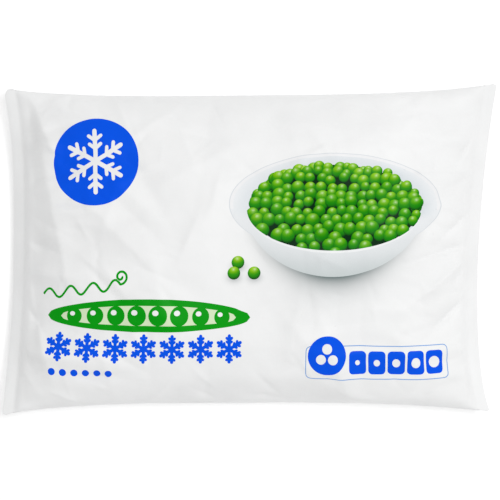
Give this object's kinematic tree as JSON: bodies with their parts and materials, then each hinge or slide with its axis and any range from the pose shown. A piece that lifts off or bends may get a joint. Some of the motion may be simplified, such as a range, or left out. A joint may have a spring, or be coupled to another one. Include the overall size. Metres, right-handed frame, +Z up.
{
  "type": "frozen vegetable bag",
  "caption": "Sealed pillow bag of white plastic film filled with frozen peas, lying on its back with its printed front up.",
  "frame": {"origin": "on the surface the bag lies on, under the middle of the bag's bounding box", "axes": "+X along the bag from its left end seal to its right one, +Y up the printed front, +Z up, out of the printed front"},
  "size_m": [0.2994, 0.201, 0.0473],
  "materials": {
    "film": "satin white printed film"
  },
  "bodies": {
    "root": {"bag": "film"}
  },
  "joints": []
}
